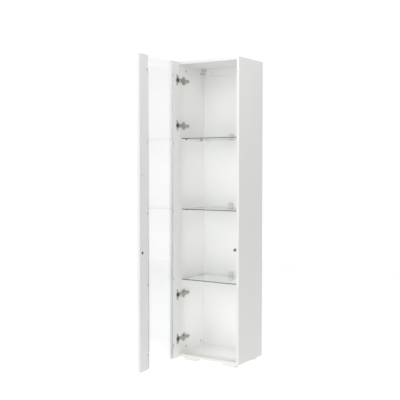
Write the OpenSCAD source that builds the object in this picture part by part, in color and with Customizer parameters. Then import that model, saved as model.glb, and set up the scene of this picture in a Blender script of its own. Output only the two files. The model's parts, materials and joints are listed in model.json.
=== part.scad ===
// Tall narrow display cabinet with one glass door on concealed hinges, glass shelves and a push latch.
// Millimetres, +Z up, the front faces -Y. The door is drawn open by door_open degrees, and it closes about
// the vertical line door_axis. The origin is on the floor, midway across the carcass and midway between
// the rear of the carcass and the free edge of the open door.

/* [Carcass] */

// Width over the side panels
body_w = 424; // [360:1:600]
// Depth of the side panels, without the door
body_d = 288; // [260:1:400]
// Height from the floor to the top of the top board
total_h = 1800; // [1500:1:2000]
// Thickness of the side panels, top board, bottom board and rear rail
board_t = 16; // [16:1:19]
// Thickness of the back panel
back_t = 3; // [2.5:0.5:4]
// Distance from the rear edge of the sides to the back of the back panel
back_inset = 3.5; // [3:0.5:8]
// Height of the rear rail under the top board
rail_h = 44; // [30:1:80]
// Distance between the two wall fixing holes in the rear rail
wall_hole_spacing = 256; // [128:32:288]
// Diameter of the wall fixing holes
wall_hole_d = 5; // [4:0.5:8]

/* [Feet] */

// Height of the feet
foot_h = 22; // [15:1:60]
// Width of each foot, left to right
foot_w = 94; // [50:1:110]
// Depth of each foot, front to back
foot_d = 45; // [40:1:70]
// Distance from the side of the carcass to a foot
foot_side_inset = 30; // [10:1:40]
// Distance from the front or the rear of the carcass to a foot
foot_end_inset = 12; // [6:1:30]

/* [Shelves] */

// Thickness of the glass shelves
shelf_t = 5; // [4:0.5:6]
// Height of the middle shelf's underside above the floor
shelf_mid_z = 914; // [860:1:960]
// Vertical distance from one shelf to the next
shelf_pitch = 426; // [300:1:440]
// Distance from the front of the sides to the front edge of a shelf
shelf_front_inset = 22; // [10:1:40]
// Distance from the front of the sides to the front row of pins
pin_front_inset = 69; // [60:1:80]
// Distance from the rear of the sides to the rear row of pins
pin_rear_inset = 51; // [35:1:60]
// Width of a light clip
clip_w = 30; // [20:1:60]
// Height of a light clip above the underside of its shelf
clip_rise = 38; // [22:1:45]
// Depth of a light clip below the underside of its shelf
clip_drop = 4; // [3:1:20]

/* [Door] */

// Angle by which the door is drawn open
door_open = 87.5; // [60:0.5:95]
// Width of the door
door_w = 422; // [358:1:598]
// Distance from the bottom of the carcass to the bottom of the door
door_low = 0; // [0:0.5:4]
// Distance from the top of the carcass to the top of the door
door_high = 4; // [1:0.5:6]
// Thickness of the door stiles
stile_t = 16; // [16:1:19]
// Width of the door stiles
stile_w = 94; // [70:1:110]
// Gap between the closed door and the sides
door_gap = 3.5; // [3.5:0.1:4.5]
// Thickness of the door pane
pane_t = 4; // [3:0.5:5]
// Overlap of the pane on each stile
pane_lap = 14; // [10:0.5:20]
// Distance from the end of the stiles to the end of the pane
pane_end = 10; // [2:1:20]
// Vertical distance from one pane retainer to the next
retainer_pitch = 402; // [300:1:420]
// Height of the latch below the middle of the door, and of the spare hole above it
latch_offset = 217; // [100:1:350]
// Distance from the free edge of the door to the strike
strike_inset = 25; // [20:0.5:30]

/* [Hinges] */

// Distance from the end of the carcass to the outer hinge
hinge_outer = 112; // [70:1:160]
// Distance from the end of the carcass to the inner hinge
hinge_inner = 381; // [250:1:420]
// Diameter of a hinge cup
cup_d = 35; // [35:1:35]
// Depth of a hinge cup
cup_depth = 13; // [12:0.5:13]
// Distance from the edge of the door to the edge of a cup
cup_edge = 4.5; // [4:0.5:6]
// Distance from the front of the side to the screws of a mounting plate
plate_line = 40; // [37:1:45]
// Vertical distance between the two screws of a mounting plate
plate_screws = 32; // [32:1:32]

/* [Hidden] */

$fn = 48;
play = 0.1;                                   // clearance around a piece that sits in a pocket

// The door turns about a line inside its hinge edge
axis_u = 8.3;                                 // from the hinge edge of the door
axis_v = 9;                                   // from the inner face of the door
// Distance from the front of the sides to the farthest corner of the open door
door_reach = door_gap + axis_v + (door_w - axis_u) * sin(door_open) + (stile_t - axis_v) * cos(door_open);

// Carcass planes
x_out = body_w / 2;
x_in = x_out - board_t;
y_front = (door_reach - body_d) / 2;
y_rear = y_front + body_d;
z_floor_board = foot_h + board_t;             // top of the bottom board
z_ceiling = total_h - board_t;                // underside of the top board
y_back = y_rear - back_inset - back_t;        // inner face of the back panel
groove_depth = 6;
y_rail = y_back - board_t;                    // front face of the rear rail

// Joints between the boards
cam_d = 15;
cam_t = 12.5;
cam_from_end = 34;
bolt_d = 6.8;
bolt_thread_d = 5;
bolt_thread_l = 11;
bolt_x = x_in + board_t / 2;
cam_ys = [y_front + pin_front_inset, y_rear - pin_rear_inset];
cam_zs = [z_floor_board + cam_from_end, z_ceiling - cam_from_end];
dowel_d = 8;
dowel_ys = [cam_ys[0] - 32, cam_ys[1] + 32];
dowel_in_side = 22;
dowel_in_board = 10;

// Shelves and pins
shelf_zs = [for (i = [1, 0, -1]) shelf_mid_z + i * shelf_pitch];      // undersides, upper to lower
shelf_y0 = y_front + shelf_front_inset;
shelf_y1 = y_back - 3.5;
shelf_x = x_in - 1.5;
pin_d = 5;
pin_ys = [y_front + pin_front_inset, y_rear - pin_rear_inset];
pin_hole = 10;

// Door, drawn closed in its own frame: u runs from the hinge edge, v from the inner face to the outer face
door_u0 = -door_w / 2;                                                // x of the hinge edge when closed
door_v0 = y_front - door_gap;                                         // y of the inner face when closed
door_z0 = foot_h + door_low;
door_z1 = total_h - door_high;
door_mid = (door_z0 + door_z1) / 2;
door_axis = [door_u0 + axis_u, door_v0 - axis_v, 0];
pane_w = door_w - 2 * (stile_w - pane_lap);
retainer_u = stile_w - pane_lap - 3.5;
retainer_us = [retainer_u, door_w - retainer_u];
retainer_d = 14;
retainer_t = 1.6;
latch_z = door_mid - latch_offset;

// Hinges
hinge_zs = [total_h - hinge_outer, total_h - hinge_inner, foot_h + hinge_inner, foot_h + hinge_outer];
cup_u = cup_edge + cup_d / 2;
cup_wall = 0.8;
flange_t = 0.8;
cup_screw_u = cup_u + 6;
cup_screw_z = 24;
pin_r = 1;
pin_play = 0.05;
arm_eye_r = 2;
arm_eye_h = 10;
arm_x0 = door_axis[0] + 10.6;                                         // face of the arm towards the side
plate_y = y_front + plate_line;
plate_t = arm_x0 + x_in;                                              // fills the space behind the arm
arm_y1 = y_front + 88;

// Latch
latch_x = door_w / 2 - strike_inset;
latch_w = 2 * (x_in - latch_x);
latch_h = 15;
latch_y0 = y_front + 1.5;
latch_l = 66;
plunger_d = 7.6;
tip_d = 10;
tip_y = y_front - 2.2;

// A box between two opposite corners
module span(low, high) {
    translate(low) cube(high - low);
}

// A cylinder along X or Y that starts at a point
module rod_x(at, l, d) {
    translate(at) rotate([0, 90, 0]) cylinder(h = l, d = d);
}

module rod_y(at, l, d) {
    translate(at) rotate([-90, 0, 0]) cylinder(h = l, d = d);
}

// Everything that is drawn closed in the door's frame goes to its open place with this
module on_open_door() {
    translate(door_axis) rotate([0, 0, -door_open]) translate(-door_axis)
        translate([door_u0, door_v0, 0]) children();
}

// The same, for the four hinges, each at its own height
module at_hinge(i) {
    translate([0, 0, hinge_zs[i]]) children();
}

// A countersunk screw along +Z with its head at z = 0 and its shank below, with a cross recess
module countersunk(d, l, head_d) {
    head_h = (head_d - d) / 2;
    difference() {
        union() {
            translate([0, 0, -head_h]) cylinder(h = head_h, d1 = d, d2 = head_d);
            translate([0, 0, -l]) cylinder(h = l - head_h, d = d);
        }
        cross_recess(head_d * 0.55);
    }
}

// A pan-head screw along +Z: the head stands on z = 0, the shank goes down
module pan_head(d, l, head_d, head_h) {
    difference() {
        union() {
            cylinder(h = head_h, d = head_d);
            translate([0, 0, -l]) cylinder(h = l, d = d);
        }
        translate([0, 0, head_h]) cross_recess(head_d * 0.55);
    }
}

module cross_recess(w) {
    for (a = [0, 90]) rotate([0, 0, a]) cube([w, w / 4, w / 2.2], center = true);
}

// ---- Carcass ----

// The holes in one side panel, drawn for the right side
module side_holes() {
    for (y = cam_ys, z = cam_zs) rod_x([x_in - 1, y, z], cam_t + 1 + play, cam_d + 2 * play);
    for (y = cam_ys, top = [0, 1])
        translate([bolt_x, y, top ? z_ceiling - cam_from_end : z_floor_board - 1])
            cylinder(h = cam_from_end + 1, d = bolt_d + 2 * play);
    for (y = dowel_ys, z = [z_floor_board - 1, z_ceiling - dowel_in_side - 1])
        translate([bolt_x, y, z]) cylinder(h = dowel_in_side + 2, d = dowel_d);
    for (y = pin_ys, z = shelf_zs) rod_x([x_in - 1, y, z - pin_d / 2], pin_hole + 1, pin_d);
    for (z = bracket_screw_zs()) rod_x([x_in - 1, y_rail - bracket_hole, z], 13, bracket_pilot_d);
}

module side_board() {
    difference() {
        span([x_in, y_front, z_floor_board], [x_out, y_rear, z_ceiling]);
        side_holes();
        back_groove();
    }
}

// The groove that holds the back panel, cut through all four boards
module back_groove() {
    span([-x_in - groove_depth - 0.5, y_back - play, z_floor_board - groove_depth - 0.5],
         [x_in + groove_depth + 0.5, y_back + back_t + play, z_ceiling + groove_depth + 0.5]);
}

module left_side_panel() {
    color("white") difference() {
        mirror([1, 0, 0]) side_board();
        for (i = [0:3]) plate_pilots(i);
    }
}

module right_side_panel() {
    color("white") difference() {
        side_board();
        for (y = latch_screw_ys()) rod_x([x_in - 1, y, latch_z], 13, 2.6);
    }
}

// The holes in the top or the bottom board, drawn upwards from the joint at z = 0
module board_holes() {
    for (s = [-1, 1], y = cam_ys)
        translate([s * bolt_x, y, -1]) cylinder(h = bolt_thread_l + 1.5, d = bolt_thread_d);
    for (s = [-1, 1], y = dowel_ys)
        translate([s * bolt_x, y, -1]) cylinder(h = dowel_in_board + 1.5, d = dowel_d);
}

module top_board() {
    color("white") difference() {
        span([-x_out, y_front, z_ceiling], [x_out, y_rear, total_h]);
        translate([0, 0, z_ceiling]) board_holes();
        back_groove();
    }
}

module bottom_board() {
    color("white") difference() {
        span([-x_out, y_front, foot_h], [x_out, y_rear, z_floor_board]);
        translate([0, 0, z_floor_board]) mirror([0, 0, 1]) board_holes();
        back_groove();
        for (p = foot_screw_places())
            translate([p[0], p[1], foot_h - 1]) cylinder(h = 12, d = foot_screw_d);
    }
}

module back_panel() {
    color("white") difference() {
        span([-x_in - groove_depth, y_back, z_floor_board - groove_depth],
             [x_in + groove_depth, y_back + back_t, z_ceiling + groove_depth]);
        wall_holes();
        for (p = nail_places()) rod_y([p[0], y_back - 1, p[1]], back_t + 2, nail_d);
    }
}

// Short nails hold the back panel to the rear rail
nail_d = 1.4;
nail_l = 12;
function nail_places() = [for (i = [-3:2:3]) [i * x_in / 4, z_ceiling - rail_h * 0.3]];

module back_nails() {
    color("silver") for (p = nail_places()) translate([p[0], y_back + back_t, p[1]]) rotate([-90, 0, 0]) {
        cylinder(h = 0.8, d = 3.4);
        translate([0, 0, -back_t - nail_l]) cylinder(h = back_t + nail_l, d = nail_d);
    }
}

module wall_holes() {
    through = board_t + back_t + 2;
    for (s = [-1, 1])
        rod_y([s * wall_hole_spacing / 2, y_rail - 1, z_ceiling - rail_h / 2], through, wall_hole_d);
}

module rear_rail() {
    color("white") difference() {
        span([-x_in, y_rail, z_ceiling - rail_h], [x_in, y_back, z_ceiling]);
        wall_holes();
        for (p = nail_places()) rod_y([p[0], y_back - nail_l, p[1]], nail_l + 1, nail_d);
        for (s = [-1, 1], z = bracket_screw_zs())
            rod_y([s * (x_in - bracket_hole), y_rail - 1, z], 13, bracket_pilot_d);
    }
}

// Steel angles that tie the rear rail to the sides
bracket_leg = 22;
bracket_t = 2;
bracket_h = 38;
bracket_hole = 13.5;                          // distance of the screws from the corner
bracket_pilot_d = 2.6;
function bracket_z() = z_ceiling - rail_h / 2 - 1;
function bracket_screw_zs() = [for (s = [-1, 1]) bracket_z() + s * 11];

module rail_brackets() {
    color("silver") for (m = [0, 1]) mirror([m, 0, 0]) difference() {
        translate([x_in, y_rail, bracket_z()]) difference() {
            span([-bracket_leg, -bracket_leg, -bracket_h / 2], [0, 0, bracket_h / 2]);
            span([-bracket_leg - 1, -bracket_leg - 1, -bracket_h], [-bracket_t, -bracket_t, bracket_h]);
        }
        for (z = bracket_screw_zs()) {
            rod_y([x_in - bracket_hole, y_rail - bracket_t - 1, z], 4, 3.4);
            rod_x([x_in - bracket_t - 1, y_rail - bracket_hole, z], 4, 3.4);
        }
    }
}

module rail_screws() {
    color("silver") for (m = [0, 1], z = bracket_screw_zs()) mirror([m, 0, 0]) {
        translate([x_in - bracket_hole, y_rail - bracket_t, z]) rotate([90, 0, 0])
            pan_head(bracket_pilot_d, 13.5, 6.4, 1.8);
        translate([x_in - bracket_t, y_rail - bracket_hole, z]) rotate([0, -90, 0])
            pan_head(bracket_pilot_d, 13.5, 6.4, 1.8);
    }
}

// A cam lock is a disc with a channel for the head of its bolt and a cross slot on its face
module cam_lock(up) {
    difference() {
        rotate([0, 90, 0]) cylinder(h = cam_t, d = cam_d);
        translate([board_t / 2, 0, up ? 0 : -cam_d]) cylinder(h = cam_d, d = bolt_d + 2 * play);
        rotate([0, 90, 0]) cross_recess(7);
    }
}

module cam_locks() {
    color("gray") for (m = [0, 1], y = cam_ys, top = [0, 1])
        mirror([m, 0, 0]) translate([x_in, y, cam_zs[top]]) cam_lock(top == 1);
}

module cam_bolts() {
    color("silver") for (s = [-1, 1], y = cam_ys, top = [0, 1])
        translate([s * bolt_x, y, top ? z_ceiling : z_floor_board]) mirror([0, 0, top ? 0 : 1]) {
            cylinder(h = bolt_thread_l, d = bolt_thread_d);
            translate([0, 0, -cam_from_end + 1]) cylinder(h = cam_from_end - 1, d = bolt_d);
        }
}

module wood_dowels() {
    color("burlywood") for (s = [-1, 1], y = dowel_ys, top = [0, 1])
        translate([s * bolt_x, y, top ? z_ceiling : z_floor_board]) mirror([0, 0, top ? 0 : 1])
            translate([0, 0, -dowel_in_side]) cylinder(h = dowel_in_side + dowel_in_board, d = dowel_d);
}

// ---- Feet ----

foot_screw_d = 4;
foot_x = x_out - foot_side_inset - foot_w / 2;
foot_ys = [y_front + foot_end_inset + foot_d / 2, y_rear - foot_end_inset - foot_d / 2];
foot_recess = 9;
foot_recess_d = 9;
function foot_screw_places() = [for (sx = [-1, 1], y = foot_ys, d = [-1, 1])
    [sx * foot_x + d * foot_w * 0.28, y]];

module foot(sx, y) {
    color("white") difference() {
        translate([sx * foot_x, y, foot_h / 2]) cube([foot_w, foot_d, foot_h], center = true);
        for (p = foot_screw_places()) translate([p[0], p[1], -1]) {
            cylinder(h = foot_h + 2, d = foot_screw_d + 0.4);
            cylinder(h = foot_recess + 1, d = foot_recess_d);
        }
    }
}

module foot_front_left() { foot(-1, foot_ys[0]); }
module foot_front_right() { foot(1, foot_ys[0]); }
module foot_rear_left() { foot(-1, foot_ys[1]); }
module foot_rear_right() { foot(1, foot_ys[1]); }

module foot_screws() {
    color("silver") for (p = foot_screw_places())
        translate([p[0], p[1], foot_recess]) rotate([180, 0, 0])
            pan_head(foot_screw_d, foot_h - foot_recess + 11, 8, 2.4);
}

// ---- Shelves and their lights ----

module shelf_pins() {
    color("gray") for (m = [0, 1], y = pin_ys, z = shelf_zs)
        mirror([m, 0, 0]) translate([0, 0, z - pin_d / 2]) {
            rod_x([x_in - 9, y, 0], 9 + pin_hole - 1, pin_d);
            rod_x([x_in - 1.2, y, 0], 1.2, 8 - 0.6);
        }
}

module glass_shelf(i) {
    color("lightcyan", 0.5)
        span([-shelf_x, shelf_y0, shelf_zs[i] + play], [shelf_x, shelf_y1, shelf_zs[i] + play + shelf_t]);
}

module glass_shelf_upper() { glass_shelf(0); }
module glass_shelf_middle() { glass_shelf(1); }
module glass_shelf_lower() { glass_shelf(2); }

// A clip straddles the rear edge of its shelf, and has a round top
clip_y0 = shelf_y1 - 9;
clip_y1 = y_back - 0.3;
clip_screw_y = clip_y0 + 4.5;
lens_t = 1.4;
lens_half = [clip_w * 0.3, shelf_t / 2 - 0.6];         // half its width and height

module shelf_light(i) {
    z = shelf_zs[i];
    round_z = z + clip_rise - clip_w / 2;
    color("dimgray") difference() {
        union() {
            span([-clip_w / 2, clip_y0, z - clip_drop], [clip_w / 2, clip_y1, round_z]);
            rod_y([0, clip_y0, round_z], clip_y1 - clip_y0, clip_w);
        }
        span([-clip_w, clip_y0 - 1, z], [clip_w, shelf_y1 + 0.1, z + shelf_t + 2 * play]);
        lens_block(z, play, [-1, lens_t + 0.2]);
        translate([0, clip_screw_y, z - clip_drop - 1]) cylinder(h = clip_drop + 2, d = 3.2);
    }
}

module shelf_light_upper() { shelf_light(0); }
module shelf_light_middle() { shelf_light(1); }
module shelf_light_lower() { shelf_light(2); }

// A block behind the edge of the glass: grown sideways, and from one depth to another
module lens_block(z, grow, ys) {
    half = lens_half + [grow, grow];
    mid = z + shelf_t / 2;
    span([-half[0], shelf_y1 + ys[0], mid - half[1]], [half[0], shelf_y1 + ys[1], mid + half[1]]);
}

// The lens of each light faces the edge of the glass
module light_lenses() {
    color("lightyellow") for (z = shelf_zs) lens_block(z, 0, [0.15, lens_t]);
}

// A small screw under each clip presses on the glass
module light_screws() {
    color("silver") for (z = shelf_zs) translate([0, clip_screw_y, z - clip_drop]) rotate([180, 0, 0])
        pan_head(3, clip_drop, 6, 1.6);
}

// ---- Hinges ----

module plate_pilots(i) {
    at_hinge(i) for (s = [-1, 1]) rod_x([-x_in - 12, plate_y, s * plate_screws / 2], 13, 3);
}

// The cross-shaped plate on the side panel
module hinge_plate(i) {
    color("silver") at_hinge(i) difference() {
        union() {
            span([-x_in, plate_y - 22, -9], [-x_in + plate_t, plate_y + 34, 9]);
            span([-x_in, plate_y - 7, -plate_screws / 2], [-x_in + 2.4, plate_y + 7, plate_screws / 2]);
            for (s = [-1, 1]) rod_x([-x_in, plate_y, s * plate_screws / 2], 2.4, 16);
        }
        for (s = [-1, 1]) rod_x([-x_in - 1, plate_y, s * plate_screws / 2], 5, 4);
        rod_x([-x_in - 1, plate_y + 24, 0], plate_t + 2, 3);
    }
}

module hinge_plate_1() { hinge_plate(0); }
module hinge_plate_2() { hinge_plate(1); }
module hinge_plate_3() { hinge_plate(2); }
module hinge_plate_4() { hinge_plate(3); }

module hinge_plate_screws() {
    color("silver") for (i = [0:3], s = [-1, 1]) at_hinge(i)
        translate([-x_in + 2.4, plate_y, s * plate_screws / 2]) rotate([0, 90, 0]) pan_head(3, 14, 7, 2);
}

// The arm: an eye on the door axis, a short tongue, a strap past the edge of the door, a body on the plate
module hinge_arm(i) {
    ax = door_axis[0];
    ay = door_axis[1];
    strap_t = 3;
    body_y0 = plate_y - 20;
    color("lightgray") at_hinge(i) difference() {
        union() {
            translate([ax, ay, -arm_eye_h / 2]) cylinder(h = arm_eye_h, r = arm_eye_r);
            span([ax, ay - 2.8, -arm_eye_h / 2], [arm_x0 + strap_t, ay + 0.4, arm_eye_h / 2]);
            span([arm_x0, ay - 2.8, -8], [arm_x0 + strap_t, body_y0 + 1, 8]);
            span([arm_x0, body_y0, -9], [arm_x0 + 8, arm_y1 - 9, 9]);
            rod_x([arm_x0, arm_y1 - 9, 0], 8, 18);
        }
        translate([ax, ay, -arm_eye_h]) cylinder(h = 2 * arm_eye_h, r = pin_r);
        rod_x([arm_x0 - 1, plate_y + 2, 0], 10, 5);
        rod_x([arm_x0 - 1, plate_y + 24, 0], 10, 5);
    }
}

module hinge_arm_1() { hinge_arm(0); }
module hinge_arm_2() { hinge_arm(1); }
module hinge_arm_3() { hinge_arm(2); }
module hinge_arm_4() { hinge_arm(3); }

// Each arm has a side adjusting screw and a fixing screw that goes into the plate
module hinge_arm_screws() {
    color("silver") for (i = [0:3]) at_hinge(i) {
        translate([arm_x0 + 8, plate_y + 2, 0]) rotate([0, 90, 0]) pan_head(4.8, 7.8, 7, 1.6);
        translate([arm_x0 + 8, plate_y + 24, 0]) rotate([0, 90, 0]) {
            pan_head(4.8, 7.9, 7, 1.6);
            translate([0, 0, -8 - plate_t + 0.4]) cylinder(h = plate_t, d = 2.8);
        }
    }
}

// A pin is held in the eye of its arm and turns in the two lugs of its cup
pin_l = 18.4;
lug_z = arm_eye_h / 2 + 0.6;
lug_half = 2.5;

module hinge_pins() {
    color("silver") for (i = [0:3]) at_hinge(i)
        translate([door_axis[0], door_axis[1], -pin_l / 2]) cylinder(h = pin_l, r = pin_r);
}

// The hollow cup with its flange
module cup_shell() {
    difference() {
        union() {
            rod_y([cup_u, -cup_depth, 0], cup_depth, cup_d);
            rod_y([cup_u, 0, 0], flange_t, cup_d + 3);
            span([cup_screw_u - 8, 0, -cup_screw_z], [cup_screw_u + 8, flange_t, cup_screw_z]);
            for (s = [-1, 1]) rod_y([cup_screw_u, 0, s * cup_screw_z], flange_t, 16);
        }
        rod_y([cup_u, -cup_depth + cup_wall, 0], cup_depth + 2, cup_d - 2 * cup_wall);
    }
}

// A lug on each side of the arm, from the wall of the cup inwards
module cup_lugs() {
    intersection() {
        rod_y([cup_u, -cup_depth, 0], cup_depth, cup_d);
        for (m = [0, 1]) mirror([0, 0, m])
            span([axis_u - lug_half, -cup_depth, lug_z], [axis_u + lug_half, lug_half - axis_v, cup_d / 2]);
    }
}

// The cup, in the door's frame
module hinge_cup(i) {
    color("silver") on_open_door() at_hinge(i) difference() {
        union() {
            cup_shell();
            cup_lugs();
        }
        translate([axis_u, -axis_v, -cup_d]) cylinder(h = 2 * cup_d, r = pin_r + pin_play);
        for (s = [-1, 1]) rod_y([cup_screw_u, -1, s * cup_screw_z], 4, 4);
    }
}

module hinge_cup_1() { hinge_cup(0); }
module hinge_cup_2() { hinge_cup(1); }
module hinge_cup_3() { hinge_cup(2); }
module hinge_cup_4() { hinge_cup(3); }

module hinge_cup_screws() {
    color("silver") on_open_door() for (i = [0:3], s = [-1, 1]) at_hinge(i)
        translate([cup_screw_u, flange_t, s * cup_screw_z]) rotate([-90, 0, 0]) pan_head(3, 13, 7, 1.8);
}

// ---- Door ----

retainer_zs = [for (k = [-2:2]) door_mid + k * retainer_pitch];

// A stile with its long edge at u = 0 and the rebate for the pane along its inner edge
module stile_board() {
    difference() {
        span([0, -stile_t, door_z0], [stile_w, 0, door_z1]);
        span([stile_w - pane_lap - 0.3, -pane_t - play, door_z0 - 1], [stile_w + 1, 1, door_z1 + 1]);
        for (z = retainer_zs) rod_y([retainer_u, -12, z], 13, 2.4);
    }
}

module door_stile_hinge() {
    color("white") on_open_door() difference() {
        stile_board();
        for (i = [0:3]) at_hinge(i) {
            rod_y([cup_u, -cup_depth, 0], cup_depth + 1, cup_d);
            for (s = [-1, 1]) rod_y([cup_screw_u, -13, s * cup_screw_z], 14, 3);
        }
    }
}

module door_stile_free() {
    color("white") on_open_door() difference() {
        translate([door_w, 0, 0]) mirror([1, 0, 0]) stile_board();
        rod_y([door_w - strike_inset, -12, latch_z], 13, strike_screw_d);
        rod_y([door_w - strike_inset, -11, door_mid + latch_offset], 12, 5);
    }
}

module door_pane() {
    edge = (door_w - pane_w) / 2;
    color("lightcyan", 0.4) on_open_door()
        span([edge, -pane_t, door_z0 + pane_end], [door_w - edge, 0, door_z1 - pane_end]);
}

// Retainers are thin discs that reach over the edge of the pane
module pane_retainers() {
    color("gainsboro") on_open_door() for (u = retainer_us, z = retainer_zs) difference() {
        rod_y([u, 0, z], retainer_t, retainer_d);
        rod_y([u, -1, z], retainer_t + 2, 3.2);
    }
}

module retainer_screws() {
    color("silver") on_open_door() for (u = retainer_us, z = retainer_zs)
        translate([u, retainer_t, z]) rotate([-90, 0, 0]) pan_head(2.4, 12, 5.4, 1.2);
}

// The strike is a steel disc that the magnet of the latch holds
strike_t = 1;
strike_screw_d = 2.6;
strike_head_d = strike_screw_d + 2 * strike_t;

module at_strike() {
    on_open_door() translate([door_w - strike_inset, strike_t, latch_z]) rotate([-90, 0, 0]) children();
}

module strike_plate() {
    color("dimgray") at_strike() difference() {
        translate([0, 0, -strike_t]) cylinder(h = strike_t, d = 15);
        // the cone of the countersink goes on for 1 mm past both faces
        translate([0, 0, -strike_t - 1])
            cylinder(h = strike_t + 2, d1 = strike_screw_d + 2 * play - 2, d2 = strike_head_d + 2 * play + 2);
    }
}

module strike_screw() {
    color("gray") at_strike() countersunk(strike_screw_d, 12, strike_head_d);
}

module spare_hole_cap() {
    color("gainsboro") on_open_door() {
        rod_y([door_w - strike_inset, 0, door_mid + latch_offset], 1.2, 12);
        rod_y([door_w - strike_inset, -9, door_mid + latch_offset], 9, 5);
    }
}

// ---- Push latch on the right side ----

function latch_screw_ys() = [latch_y0 + latch_l - 6];
bore_l = 56;

// The body is a box with a long pocket for the plunger and its spring
module latch_body() {
    color("lightgray") difference() {
        span([latch_x - latch_w / 2, latch_y0, latch_z - latch_h / 2],
             [x_in, latch_y0 + latch_l, latch_z + latch_h / 2]);
        rod_y([latch_x, latch_y0 - 1, latch_z], bore_l + 1, plunger_d + 0.1);
        rod_y([latch_x, latch_y0 - 1, latch_z], 5.2, tip_d + 0.6);
        for (y = latch_screw_ys()) {
            rod_x([latch_x - latch_w, y, latch_z], 3 * latch_w, 3);
            rod_x([latch_x - latch_w / 2 - 1, y, latch_z], 4, 6);
        }
    }
}

module latch_plunger() {
    color("gray") difference() {
        union() {
            rod_y([latch_x, tip_y + 2, latch_z], 30, plunger_d);
            rod_y([latch_x, tip_y + 2, latch_z], 2, tip_d);
        }
        rod_y([latch_x, tip_y + 20, latch_z], 20, plunger_d - 2);
    }
}

// The round magnet on the end of the plunger
module latch_magnet() {
    color("black") rod_y([latch_x, tip_y, latch_z], 2, tip_d);
}

// A coil spring between the plunger and the end of the pocket
spring_y0 = tip_y + 20;
spring_l = latch_y0 + bore_l - spring_y0;
spring_wire = 0.8;
spring_r = 2;
spring_turns = 9;

module latch_spring() {
    color("silver") translate([latch_x, spring_y0 + spring_wire / 2, latch_z]) rotate([-90, 0, 0])
        helix(spring_r, spring_wire, spring_l - spring_wire, spring_turns);
}

// A round wire wound about Z, as rings of points joined by triangles
module helix(r, wire, l, turns, per_turn = 14, sides = 6) {
    n = turns * per_turn;
    points = [for (i = [0:n], k = [0:sides - 1])
        let (a = 360 * i / per_turn, b = 360 * k / sides, ring = r + wire / 2 * cos(b))
        [ring * cos(a), ring * sin(a), l * i / n + wire / 2 * sin(b)]];
    skin = [for (i = [0:n - 1], k = [0:sides - 1], half = [0, 1])
        let (k1 = (k + 1) % sides, p = i * sides, q = p + sides)
        half == 0 ? [p + k, q + k, q + k1] : [p + k, q + k1, p + k1]];
    first_end = [for (k = [0:sides - 1]) k];
    last_end = [for (k = [sides - 1:-1:0]) n * sides + k];
    polyhedron(points, concat(skin, [first_end, last_end]));
}

module latch_screws() {
    color("silver") for (y = latch_screw_ys()) translate([latch_x - latch_w / 2 + 3, y, latch_z])
        rotate([0, -90, 0]) pan_head(2.6, latch_w + 8, 5.6, 1.6);
}

left_side_panel();
right_side_panel();
top_board();
bottom_board();
back_panel();
back_nails();
rear_rail();
rail_brackets();
rail_screws();
cam_locks();
cam_bolts();
wood_dowels();
foot_front_left();
foot_front_right();
foot_rear_left();
foot_rear_right();
foot_screws();
shelf_pins();
glass_shelf_upper();
glass_shelf_middle();
glass_shelf_lower();
shelf_light_upper();
shelf_light_middle();
shelf_light_lower();
light_lenses();
light_screws();
hinge_plate_1();
hinge_plate_2();
hinge_plate_3();
hinge_plate_4();
hinge_plate_screws();
hinge_arm_1();
hinge_arm_2();
hinge_arm_3();
hinge_arm_4();
hinge_arm_screws();
hinge_pins();
hinge_cup_1();
hinge_cup_2();
hinge_cup_3();
hinge_cup_4();
hinge_cup_screws();
door_stile_free();
door_stile_hinge();
door_pane();
pane_retainers();
retainer_screws();
strike_plate();
strike_screw();
spare_hole_cap();
latch_body();
latch_plunger();
latch_magnet();
latch_spring();
latch_screws();
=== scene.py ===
"""Studio scene of a tall display cabinet: camera, light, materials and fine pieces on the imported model."""
import json
import math

import bmesh
import bpy
from mathutils import Matrix, Vector


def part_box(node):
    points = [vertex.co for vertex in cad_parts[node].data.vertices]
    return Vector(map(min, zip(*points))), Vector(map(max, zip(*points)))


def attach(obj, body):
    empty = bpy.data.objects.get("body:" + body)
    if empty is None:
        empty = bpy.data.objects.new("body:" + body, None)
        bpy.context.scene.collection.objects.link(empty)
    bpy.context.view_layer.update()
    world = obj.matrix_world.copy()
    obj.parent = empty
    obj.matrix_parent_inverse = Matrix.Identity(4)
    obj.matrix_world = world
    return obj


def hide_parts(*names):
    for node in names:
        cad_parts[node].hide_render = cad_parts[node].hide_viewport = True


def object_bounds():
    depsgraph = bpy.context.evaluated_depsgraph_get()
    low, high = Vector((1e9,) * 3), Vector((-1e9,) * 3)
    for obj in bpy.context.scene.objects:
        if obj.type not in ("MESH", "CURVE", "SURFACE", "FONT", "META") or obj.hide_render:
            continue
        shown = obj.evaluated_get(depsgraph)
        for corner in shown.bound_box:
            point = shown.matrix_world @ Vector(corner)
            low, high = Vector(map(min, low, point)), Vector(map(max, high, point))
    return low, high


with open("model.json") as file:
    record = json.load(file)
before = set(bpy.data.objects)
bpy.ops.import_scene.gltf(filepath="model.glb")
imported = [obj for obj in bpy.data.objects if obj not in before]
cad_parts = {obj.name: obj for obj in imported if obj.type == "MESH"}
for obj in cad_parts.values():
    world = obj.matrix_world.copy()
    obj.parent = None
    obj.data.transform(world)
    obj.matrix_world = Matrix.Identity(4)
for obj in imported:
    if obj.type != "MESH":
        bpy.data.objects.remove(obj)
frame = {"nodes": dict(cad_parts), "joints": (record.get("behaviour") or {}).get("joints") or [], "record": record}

CAD_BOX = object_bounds()
MM = 0.001
NODES = frame["nodes"]

# ---- Camera ----

VIEW_AZIMUTH = math.radians(32.53)    # to the right of the front
VIEW_ELEVATION = math.radians(2.53)
VIEW_DISTANCE = 4.325
VIEW_LENS = 67.0
AIM_SIDE = -0.008                     # from the middle of the box, across
AIM_RISE = 0.0796                     # from the middle of the box, up
SENSOR_WIDTH = 36
CLIP_NEAR, CLIP_FAR = 0.05, 60


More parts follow.
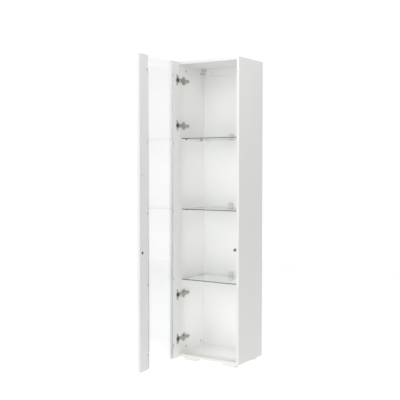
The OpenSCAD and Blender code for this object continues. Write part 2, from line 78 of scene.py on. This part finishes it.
def make_camera():
    low, high = Vector(CAD_BOX[0]), Vector(CAD_BOX[1])
    aim = (low + high) / 2 + Vector((AIM_SIDE, 0, AIM_RISE))
    back = Vector((
        math.sin(VIEW_AZIMUTH) * math.cos(VIEW_ELEVATION),
        -math.cos(VIEW_AZIMUTH) * math.cos(VIEW_ELEVATION),
        math.sin(VIEW_ELEVATION),
    ))
    data = bpy.data.cameras.new("camera")
    data.lens = VIEW_LENS
    data.sensor_width = SENSOR_WIDTH
    data.clip_start = CLIP_NEAR
    data.clip_end = CLIP_FAR
    camera = bpy.data.objects.new("camera", data)
    camera.location = aim + back * VIEW_DISTANCE
    camera.rotation_euler = (-back).to_track_quat("-Z", "Y").to_euler()
    bpy.context.scene.collection.objects.link(camera)
    bpy.context.scene.camera = camera


make_camera()

# ---- Node graphs ----


class Graph:
    """A material's or world's node tree, built one node at a time."""

    def __init__(self, owner):
        owner.use_nodes = True
        self.tree = owner.node_tree
        self.tree.nodes.clear()

    def add(self, kind, inputs=None, **settings):
        """A new node: settings are its properties, inputs its socket values or the sockets linked to them."""
        node = self.tree.nodes.new(kind)
        for key, value in settings.items():
            setattr(node, key, value)
        for key, value in (inputs or {}).items():
            if isinstance(value, bpy.types.NodeSocket):
                self.tree.links.new(value, node.inputs[key])
            else:
                node.inputs[key].default_value = value
        return node

    def maths(self, operation, a, b=None):
        inputs = {0: a} if b is None else {0: a, 1: b}
        return self.add("ShaderNodeMath", inputs, operation=operation).outputs[0]

    def ramp(self, value, low, high, out_low=0.0, out_high=1.0):
        """value from low to high gives out_low to out_high, clamped."""
        inputs = {"Value": value, "From Min": low, "From Max": high, "To Min": out_low, "To Max": out_high}
        return self.add("ShaderNodeMapRange", inputs).outputs["Result"]

    def blend(self, factor, a, b):
        """A colour from a to b."""
        node = self.add("ShaderNodeMix", data_type="RGBA")
        for index, value in ((0, factor), (6, a), (7, b)):
            if isinstance(value, bpy.types.NodeSocket):
                self.tree.links.new(value, node.inputs[index])
            elif index:
                node.inputs[index].default_value = (*value, 1)
            else:
                node.inputs[index].default_value = value
        return node.outputs[2]

    def place(self, scale=(1, 1, 1)):
        """A point of the object in metres, scaled along each axis."""
        coords = self.add("ShaderNodeTexCoord").outputs["Object"]
        return self.add("ShaderNodeMapping", {"Vector": coords, "Scale": scale}).outputs["Vector"]

    def noise(self, point, scale, detail=2.0, roughness=0.5):
        inputs = {"Vector": point, "Scale": scale, "Detail": detail, "Roughness": roughness}
        return self.add("ShaderNodeTexNoise", inputs).outputs["Fac"]

    def bump(self, height, depth, strength=1.0, normal=None):
        inputs = {"Height": height, "Distance": depth, "Strength": strength}
        if normal:
            inputs["Normal"] = normal
        return self.add("ShaderNodeBump", inputs).outputs["Normal"]

    def surface(self, shader):
        self.add("ShaderNodeOutputMaterial", {"Surface": shader})


def new_material(name):
    material = bpy.data.materials.new(name)
    return material, Graph(material)


# ---- Materials ----

GLASS_IOR = 1.5
FOIL_IOR = 1.5
PLASTIC_IOR = 1.46


def board_white(name, tone, roughness):
    """White melamine foil: a faint mottle, a fine orange-peel surface and slightly uneven gloss."""
    material, g = new_material(name)
    point = g.place()
    mottle = g.noise(point, 9, 3)
    fine = g.noise(point, 1400, 2)
    colour = g.blend(mottle, [c * 0.985 for c in tone], tone)
    gloss = g.ramp(g.noise(point, 60, 4), 0.3, 0.7, roughness - 0.04, roughness + 0.05)
    normal = g.bump(fine, 0.00004, 0.35)
    shader = g.add("ShaderNodeBsdfPrincipled", {
        "Base Color": colour, "Roughness": gloss, "Normal": normal, "IOR": FOIL_IOR,
    })
    g.surface(shader.outputs[0])
    return material


def metal(name, tone, roughness, streak=(1, 1, 1), depth=0.00002):
    """Plated or ground metal with fine directional streaks and small differences in gloss."""
    material, g = new_material(name)
    fine = g.noise(g.place(streak), 900, 4, 0.6)
    cloud = g.noise(g.place(), 120, 3)
    colour = g.blend(cloud, [c * 0.86 for c in tone], tone)
    gloss = g.ramp(fine, 0.25, 0.75, roughness * 0.75, roughness * 1.3)
    shader = g.add("ShaderNodeBsdfPrincipled", {
        "Base Color": colour, "Metallic": 1.0, "Roughness": gloss, "Normal": g.bump(fine, depth, 0.4),
    })
    g.surface(shader.outputs[0])
    return material


def plastic(name, tone, roughness, depth=0.00006):
    """Moulded plastic with a fine spark-eroded grain."""
    material, g = new_material(name)
    point = g.place()
    grain = g.noise(point, 2200, 3, 0.6)
    colour = g.blend(g.noise(point, 200, 2), [c * 0.94 for c in tone], tone)
    gloss = g.ramp(grain, 0.3, 0.7, roughness * 0.85, roughness * 1.15)
    shader = g.add("ShaderNodeBsdfPrincipled", {
        "Base Color": colour, "Roughness": gloss, "Normal": g.bump(grain, depth, 0.5),
        "IOR": PLASTIC_IOR,
    })
    g.surface(shader.outputs[0])
    return material


def wood(name, tone_a, tone_b):
    """Bare turned beech with short flecks along the grain."""
    material, g = new_material(name)
    grain = g.noise(g.place((900, 900, 60)), 1, 4, 0.6)
    shader = g.add("ShaderNodeBsdfPrincipled", {
        "Base Color": g.blend(grain, tone_a, tone_b), "Roughness": g.ramp(grain, 0.2, 0.8, 0.6, 0.8),
        "Normal": g.bump(grain, 0.0001, 0.4),
    })
    g.surface(shader.outputs[0])
    return material


def glass(name, face_tone, edge_tone, thin_axis):
    """Clear float glass. The ground edges, whose normals lie across thin_axis, are darker and greener."""
    material, g = new_material(name)
    point = g.place()
    world_normal = g.add("ShaderNodeNewGeometry").outputs["True Normal"]
    normal = g.add("ShaderNodeVectorTransform", {"Vector": world_normal}, vector_type="NORMAL",
                   convert_from="WORLD", convert_to="OBJECT").outputs["Vector"]
    parts = g.add("ShaderNodeSeparateXYZ", {"Vector": normal}).outputs
    flat = g.maths("ABSOLUTE", parts["XYZ".index(thin_axis)])
    on_edge = g.ramp(flat, 0.2, 0.95, 1, 0)
    gloss = g.ramp(g.noise(point, 40, 3), 0.3, 0.7, 0.0, 0.003)
    clear = g.add("ShaderNodeBsdfGlass", {"Color": (*face_tone, 1), "Roughness": gloss, "IOR": GLASS_IOR})
    grind = g.noise(point, 1600, 3)
    edge = g.add("ShaderNodeBsdfPrincipled", {
        "Base Color": g.blend(grind, [c * 0.8 for c in edge_tone], edge_tone),
        "Roughness": g.ramp(grind, 0.3, 0.7, 0.12, 0.3), "Transmission Weight": 0.25, "IOR": GLASS_IOR,
    })
    mixed = g.add("ShaderNodeMixShader", {0: on_edge, 1: clear.outputs[0], 2: edge.outputs[0]})
    shadow = g.add("ShaderNodeLightPath").outputs["Is Shadow Ray"]
    through = g.add("ShaderNodeBsdfTransparent", {"Color": (*face_tone, 1)})
    shader = g.add("ShaderNodeMixShader", {0: shadow, 1: mixed.outputs[0], 2: through.outputs[0]})
    g.surface(shader.outputs[0])
    return material


WHITE = (0.865, 0.866, 0.848)
MATERIALS = {
    "white_board": board_white("white_board", WHITE, 0.42),
    "white_hardboard": board_white("white_hardboard", (0.85, 0.855, 0.85), 0.5),
    "zinc_steel": metal("zinc_steel", (0.62, 0.62, 0.64), 0.3),
    "bracket_steel": metal("bracket_steel", (0.93, 0.93, 0.91), 0.55, (1, 1, 8)),
    "cam_zinc": metal("cam_zinc", (0.66, 0.66, 0.66), 0.5),
    "beech": wood("beech", (0.62, 0.43, 0.25), (0.74, 0.56, 0.36)),
    "pin_steel": metal("pin_steel", (0.34, 0.34, 0.35), 0.3),
    "shelf_glass": glass("shelf_glass", (0.985, 0.993, 0.99), (0.2, 0.22, 0.215), "Z"),
    "door_glass": glass("door_glass", (0.97, 0.974, 0.972), (0.72, 0.74, 0.73), "X"),
    "light_grey_metal": plastic("light_grey_metal", (0.68, 0.69, 0.685), 0.3, 0.00002),
    "light_lens": plastic("light_lens", (0.9, 0.88, 0.78), 0.25),
    "nickel": metal("nickel", (0.52, 0.495, 0.46), 0.28, (1, 6, 1)),
    "pale_plastic": plastic("pale_plastic", (0.68, 0.68, 0.66), 0.4),
    "dark_steel": metal("dark_steel", (0.12, 0.12, 0.12), 0.35),
    "grey_plastic": plastic("grey_plastic", (0.35, 0.35, 0.35), 0.4),
    "magnet_black": plastic("magnet_black", (0.04, 0.04, 0.04), 0.35),
}

# ---- The CAD nodes ----

BEVELS = {
    "white_board": 0.6 * MM,
    "white_hardboard": 0.2 * MM,
    "shelf_glass": 0.5 * MM,
    "door_glass": 0.5 * MM,
}
BEVEL_ANGLE = math.radians(50)        # edges sharper than this are rounded


def soften(piece, width, segments=1):
    """Rounds the sharp edges of a piece with a modifier."""
    bevel = piece.modifiers.new("rounded_edges", "BEVEL")
    bevel.width = width
    bevel.segments = segments
    bevel.limit_method = "ANGLE"
    bevel.angle_limit = BEVEL_ANGLE
    bevel.harden_normals = True


def dress_nodes():
    for part in frame["record"]["subparts"]:
        node = NODES[part["node"]]
        slot = part["material_slot"]
        node.data.materials.clear()
        node.data.materials.append(MATERIALS[slot])
        if slot in BEVELS:
            soften(node, BEVELS[slot])


dress_nodes()

# ---- Mesh helpers ----

WELD = 0.001                          # points closer than this are joined, in millimetres


def outline(corners, steps=6):
    """A closed loop of 2D points through corners (x, y, radius), each rounded by its radius."""
    loop = []
    for index, (x, y, radius) in enumerate(corners):
        corner = Vector((x, y))
        back = Vector(corners[index - 1][:2]) - corner
        ahead = Vector(corners[(index + 1) % len(corners)][:2]) - corner
        if not radius:
            loop.append(corner)
            continue
        half = back.angle(ahead) / 2
        setback = min(radius / math.tan(half), 0.49 * back.length, 0.49 * ahead.length)
        radius = setback * math.tan(half)
        middle = corner + (back.normalized() + ahead.normalized()).normalized() * radius / math.sin(half)
        first = corner + back.normalized() * setback - middle
        last = corner + ahead.normalized() * setback - middle
        for step in range(steps + 1):
            loop.append(middle + first.lerp(last, step / steps).normalized() * radius)
    return loop


def arc(x, y, radius, start, end, steps=24):
    """Points on a circle from one angle to another, in degrees."""
    angles = [math.radians(start + (end - start) * step / steps) for step in range(steps + 1)]
    return [Vector((x + radius * math.cos(a), y + radius * math.sin(a))) for a in angles]


def ring(x, y, radius, steps=24):
    return arc(x, y, radius, 0, 360, steps)[:-1]


def slot_hole(x, y, length, width):
    """A long hole along X."""
    a, b, r = length / 2, width / 2, width / 2
    return outline([(x - a, y - b, r), (x + a, y - b, r), (x + a, y + b, r), (x - a, y + b, r)])


class Piece:
    """One object, joined from plates and turned shapes, in millimetres in its own space."""

    def __init__(self, name, space):
        self.name, self.space = name, space
        self.bm = bmesh.new()

    def take(self, mesh, matrix=Matrix()):
        mesh.transform(matrix)
        self.bm.from_mesh(mesh)
        bpy.data.meshes.remove(mesh)

    def plate(self, loops, low, high, matrix=Matrix()):
        """A flat plate in XY between two heights: the first loop is its outline and the others are holes."""
        curve = bpy.data.curves.new("plate", "CURVE")
        curve.dimensions = "2D"
        curve.fill_mode = "BOTH"
        curve.extrude = (high - low) / 2
        for loop in loops:
            spline = curve.splines.new("POLY")
            spline.points.add(len(loop) - 1)
            for point, (x, y) in zip(spline.points, loop):
                point.co = (x, y, 0, 1)
            spline.use_cyclic_u = True
        holder = bpy.data.objects.new("plate", curve)
        bpy.context.scene.collection.objects.link(holder)
        graph = bpy.context.evaluated_depsgraph_get()
        mesh = bpy.data.meshes.new_from_object(holder.evaluated_get(graph))
        bpy.data.objects.remove(holder)
        bpy.data.curves.remove(curve)
        self.take(mesh, matrix @ Matrix.Translation((0, 0, (low + high) / 2)))

    def turned(self, profile, x, y, matrix=Matrix(), steps=64):
        """A closed shape turned about a vertical line: profile is (radius, height), from axis to axis."""
        bm = bmesh.new()
        rings = []
        for radius, height in profile:
            if radius:
                rings.append([bm.verts.new((*p, height)) for p in ring(x, y, radius, steps)])
            else:
                rings.append([bm.verts.new((x, y, height))])
        for lower, upper in zip(rings, rings[1:]):
            for k in range(steps):
                corners = [lower[k % len(lower)], lower[(k + 1) % len(lower)],
                           upper[(k + 1) % len(upper)], upper[k % len(upper)]]
                bm.faces.new(list(dict.fromkeys(corners)))
        mesh = bpy.data.meshes.new("turned")
        bm.to_mesh(mesh)
        bm.free()
        self.take(mesh, matrix)

    def done(self, body, slot, replaced, bevel):
        """The finished object, with rounded edges, on its body."""
        bmesh.ops.remove_doubles(self.bm, verts=self.bm.verts, dist=WELD)
        bmesh.ops.recalc_face_normals(self.bm, faces=self.bm.faces)
        mesh = bpy.data.meshes.new(self.name)
        self.bm.to_mesh(mesh)
        self.bm.free()
        mesh.transform(self.space @ Matrix.Scale(MM, 4))
        mesh.materials.append(MATERIALS[slot])
        piece = bpy.data.objects.new(self.name, mesh)
        bpy.context.scene.collection.objects.link(piece)
        soften(piece, bevel, 2)
        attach(piece, body)
        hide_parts(*replaced)
        return piece


def space(origin, x_axis, y_axis, z_axis):
    """The matrix of a space from its origin and axes."""
    rows = zip(x_axis, y_axis, z_axis, origin)
    return Matrix([*[list(row) for row in rows], [0, 0, 0, 1]])


# ---- Hinges ----

PLAN = space((0, 0, 0), (1, 0, 0), (0, 0, 1), (0, -1, 0))   # a plate's XY becomes XZ, and its height -Y
HINGE_COUNT = 4

# Mounting plate and arm, in millimetres.
PLATE_REACH = 34                      # from the screw line to the rear end of the plate
PLATE_WAIST = 8.6                     # half the height of the plate's middle strip
WING_TIP = 24                         # half the height across the wings
PLATE_SHEET = 2.4
BLOCK_TOP = 3.9
ARM_SHEET = 1.4
ARM_HALF = 9
NECK = -16                            # where the arm's cover ends and its nose begins
CHEEK_MIDDLE, CHEEK_HALF = 8.3, 0.7
STRAP_TOP = 6.9
TONGUE_HALF = 5
EYE_RADIUS, PIN_BORE = 2, 1.02

# Cup, in millimetres. U runs from the hinge edge of the door and V from its inner face.
AXIS_U, AXIS_V = 8.3, 9
CUP_U = 22
EAR_U, EAR_Z = 28, 24
SCREW_BORE = 2.2
RIM_RADIUS = 18.8
CUP_OUTSIDE, CUP_INSIDE = 17.3, 16.9
CUP_BOTTOM, CUP_FLOOR = -12.9, -12.1
FLANGE_SHEET = 0.8
CHORD_RADIUS, CHORD_FROM = 16.4, 9.6
LUG_MIDDLE, LUG_HALF = 7.6, 1.9


def hinge_on_side(number):
    """Mounting plate and folded arm. X runs back from the screw line, Y is up, Z is off the side."""
    low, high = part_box(f"hinge_plate_{number}")
    arm_low, arm_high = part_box(f"hinge_arm_{number}")
    screw_line = high.y - PLATE_REACH * MM
    origin = Vector((low.x, screw_line, (low.z + high.z) / 2))
    piece = Piece(f"hinge_mount_{number}", space(origin, (0, 1, 0), (0, 0, 1), (1, 0, 0)))

    waist, tip = PLATE_WAIST, WING_TIP
    wings = [
        (PLATE_REACH, -waist, 3), (PLATE_REACH, waist, 3), (14, waist, 3), (12, tip, 7), (-12, tip, 7),
        (-14, waist, 3), (-22, waist, 2), (-22, -waist, 2), (-14, -waist, 3), (-12, -tip, 7), (12, -tip, 7),
        (14, -waist, 3),
    ]
    piece.plate([outline(wings), ring(0, 16, SCREW_BORE), ring(0, -16, SCREW_BORE)], 0, PLATE_SHEET)
    block = [(33, -7, 2), (33, 7, 2), (-21, 7, 2), (-21, -7, 2)]
    piece.plate([outline(block), ring(24, 0, 2.8)], PLATE_SHEET, BLOCK_TOP)

    front = (arm_low.y - screw_line) / MM
    rear = (arm_high.y - screw_line) / MM
    top = (arm_high.x - low.x) / MM
    eye = (arm_low.x - low.x) / MM + EYE_RADIUS
    under = top - ARM_SHEET
    cover = [(rear, -ARM_HALF, 8.8), (rear, ARM_HALF, 8.8), (NECK, ARM_HALF, 0), (NECK, -ARM_HALF, 0)]
    holes = [slot_hole(24, 0, 11, 5.2), ring(2, 0, 2.6), ring(-9, 0, 1.6)]
    piece.plate([outline(cover), *holes], under, top)
    nose = [(NECK, top, 0), (NECK, under, 0), (-36, 7, 1.5), (-36, 5, 0), (-37.5, 5, 0), (-37.5, 8.2, 2.5)]
    piece.plate([outline(nose)], -ARM_HALF, ARM_HALF, PLAN)
    brow = top - 0.4
    cheek = [(38, BLOCK_TOP, 0.5), (38, brow, 1), (NECK, brow, 6), (-37, 7.6, 1), (-37, BLOCK_TOP, 0.5)]
    for side in (-1, 1):
        middle = side * CHEEK_MIDDLE
        piece.plate([outline(cheek)], middle - CHEEK_HALF, middle + CHEEK_HALF, PLAN)

    strap = [
        (-19, BLOCK_TOP, 0), (-19, STRAP_TOP, 0), (front, STRAP_TOP, 2.9), (front, BLOCK_TOP, 0),
        (front + 3.2, BLOCK_TOP, 0),
    ]
    piece.plate([outline(strap)], -8, 8, PLAN)
    pivot = front + 2.8
    curl = arc(pivot, eye, EYE_RADIUS, 165, 438, 18)
    tongue = [Vector((front + 3.2, 5)), Vector((front, 5)), *curl]
    piece.plate([tongue, ring(pivot, eye, PIN_BORE, 16)], -TONGUE_HALF, TONGUE_HALF, PLAN)
    names = f"hinge_plate_{number}", f"hinge_arm_{number}"
    return piece.done("carcass", "nickel", names, 0.25 * MM)


def hinge_on_door(number, swing):
    """Cup with a stamped flange. X runs from the door's hinge edge, Y is down, Z is off its inner face."""
    angle = math.radians(-swing["range_deg"][0])
    along = Vector((math.cos(angle), -math.sin(angle), 0))
    out = Vector((math.sin(angle), math.cos(angle), 0))
    low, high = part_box(f"hinge_cup_{number}")
    origin = Vector(swing["pos_m"]) - along * AXIS_U * MM + out * AXIS_V * MM
    origin.z = (low.z + high.z) / 2
    piece = Piece(f"hinge_cup_piece_{number}", space(origin, along, (0, 0, -1), out))

    ear = [(36, 16, 1.5), (36, 32, 7), (20, 32, 7), (18.5, RIM_RADIUS, 1.5)]
    upper = outline(ear)
    lower = [Vector((p.x, -p.y)) for p in reversed(upper)]
    flange = [*arc(CUP_U, 0, RIM_RADIUS, -46, 46), *upper, *arc(CUP_U, 0, RIM_RADIUS, 102, 258), *lower]
    mouth = ring(CUP_U, 0, CUP_INSIDE, 64)
    bores = [ring(EAR_U, EAR_Z, SCREW_BORE), ring(EAR_U, -EAR_Z, SCREW_BORE)]
    piece.plate([flange, mouth, *bores], 0, FLANGE_SHEET)
    shell = [
        (0, CUP_BOTTOM), (16.2, CUP_BOTTOM), (CUP_OUTSIDE, -11.8), (CUP_OUTSIDE, 0.2), (CUP_INSIDE, 0.2),
        (CUP_INSIDE, -11.4), (15.6, CUP_FLOOR), (0, CUP_FLOOR),
    ]
    piece.turned(shell, CUP_U, 0)
    chord = math.degrees(math.asin(CHORD_FROM / CHORD_RADIUS))
    left, right = AXIS_U - 2.5, AXIS_U + 2.5
    lug = [(left, -12, 0), (right, -12, 0), (right, -6.6, 2.2), (left, -6.6, 2.2)]
    for side in (-1, 1):
        start = chord if side > 0 else 180 + chord
        piece.plate([arc(CUP_U, 0, CHORD_RADIUS, start, start + 180 - 2 * chord)], CUP_FLOOR, -1)
        middle = side * LUG_MIDDLE
        piece.plate([outline(lug)], middle - LUG_HALF, middle + LUG_HALF, PLAN)
    return piece.done("door", "nickel", [f"hinge_cup_{number}"], 0.2 * MM)


def make_hinges():
    swing = next(joint for joint in frame["joints"] if joint["name"] == "door_swing")
    for number in range(1, HINGE_COUNT + 1):
        hinge_on_side(number)
        hinge_on_door(number, swing)


make_hinges()

# ---- Studio ----

AMBIENT = 0.085
BACKDROP = 0.2                        # more light from behind the object
BACKGROUND = 1.03                     # as the camera sees it, directly or through glass
LOBES = (                             # axis, sign, strength and sharpness of each soft light direction
    ("X", -1, 0.44, 1),
    ("Y", 1, 0.62, 1),
    ("Y", -1, 1.66, 3),
    ("Z", 1, 0.09, 1),
)
LAMP_SIZE = (0.8, 0.8)
FLOOR_RADIUS = 5
FLOOR_GLOW = 0.5
SHELVES = ("glass_shelf_lower", "glass_shelf_middle", "glass_shelf_upper")
FILL_SHARES = (1.05, 0.82, 0.82, 0.45)   # of the fill light, from the lowest compartment up
FILL_DROP = 0.03                      # below the middle of each compartment
FILL_SIDE_POWER, FILL_FRONT_POWER = 0.17, 0.12


def make_world():
    """A white surround. It lights the object with soft lobes and with a weak backdrop behind it."""
    world = bpy.data.worlds.new("studio")
    bpy.context.scene.world = world
    g = Graph(world)
    direction = g.add("ShaderNodeTexCoord").outputs["Generated"]
    far_side = (-math.sin(VIEW_AZIMUTH), math.cos(VIEW_AZIMUTH), 0)
    facing = g.add("ShaderNodeVectorMath", {0: direction, 1: far_side}, operation="DOT_PRODUCT")
    strength = g.ramp(facing.outputs["Value"], 0.6, 0.9, AMBIENT, AMBIENT + BACKDROP)
    axes = g.add("ShaderNodeSeparateXYZ", {"Vector": direction}).outputs
    for axis, sign, amount, sharpness in LOBES:
        towards = g.maths("MAXIMUM", g.maths("MULTIPLY", axes[axis], sign), 0.0)
        lobe = g.maths("MULTIPLY", g.maths("POWER", towards, sharpness), amount)
        strength = g.maths("ADD", strength, lobe)
    path = g.add("ShaderNodeLightPath").outputs
    seen = g.maths("MAXIMUM", path["Is Camera Ray"], path["Is Transmission Ray"])
    lighting = g.maths("MULTIPLY", strength, g.maths("SUBTRACT", 1.0, seen))
    strength = g.maths("ADD", lighting, g.maths("MULTIPLY", seen, BACKGROUND))
    back = g.add("ShaderNodeBackground", {"Color": (1, 1, 1, 1), "Strength": strength})
    g.add("ShaderNodeOutputWorld", {"Surface": back.outputs[0]})


def area_light(name, at, size, power, aim):
    data = bpy.data.lights.new(name, "AREA")
    data.shape = "RECTANGLE"
    data.size, data.size_y = size
    data.energy = power
    light = bpy.data.objects.new(name, data)
    light.location = at
    light.rotation_euler = (Vector(aim) - Vector(at)).to_track_quat("-Z", "Y").to_euler()
    bpy.context.scene.collection.objects.link(light)
    return light


def make_floor():
    bpy.ops.mesh.primitive_circle_add(vertices=96, radius=FLOOR_RADIUS, fill_type="NGON", location=(0, 0, 0))
    floor = bpy.context.object
    floor.name = "floor"
    material, g = new_material("studio_floor")
    tone = g.blend(g.noise(g.place(), 2, 2), (0.9, 0.9, 0.9), (0.92, 0.92, 0.92))
    shader = g.add("ShaderNodeBsdfPrincipled", {
        "Base Color": tone, "Roughness": 0.9, "Emission Color": (1, 1, 1, 1), "Emission Strength": FLOOR_GLOW,
    })
    g.surface(shader.outputs[0])
    floor.data.materials.append(material)


def fill_compartments():
    """Two weak lights in each compartment, one by the right side and one by the opening."""
    side_low, side_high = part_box("right_side_panel")
    middle = (side_low.y + side_high.y) / 2
    floors = [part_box(node)[1].z for node in ("bottom_board", *SHELVES)]
    ceilings = [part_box(node)[0].z for node in (*SHELVES, "top_board")]
    for number, (low, high, share) in enumerate(zip(floors, ceilings, FILL_SHARES)):
        rise = (low + high) / 2 - FILL_DROP
        spots = (
            ("side", (side_low.x - 4 * MM, middle, rise), (0.2, 0.3), FILL_SIDE_POWER,
             (0, middle, rise)),
            ("front", (0, side_low.y + 30 * MM, rise), (0.3, 0.3), FILL_FRONT_POWER,
             (0, side_high.y, rise)),
        )
        for name, at, size, power, aim in spots:
            light = area_light(f"fill_{name}_{number}", at, size, power * share, aim)
            light.visible_camera = False
            light.visible_glossy = False
            light.visible_transmission = False


make_world()
area_light("right", (1.6, 0.1, 2.5), LAMP_SIZE, 5.5, (0.2, 0.2, 1.5))
area_light("door", (0.9, -1.1, 2.5), LAMP_SIZE, 6.5, (-0.2, -0.15, 1.4))
fill_compartments()
make_floor()

scene = bpy.context.scene
scene.view_settings.view_transform = "Standard"
scene.view_settings.look = "None"
scene.view_settings.exposure = 0
scene.view_settings.gamma = 1
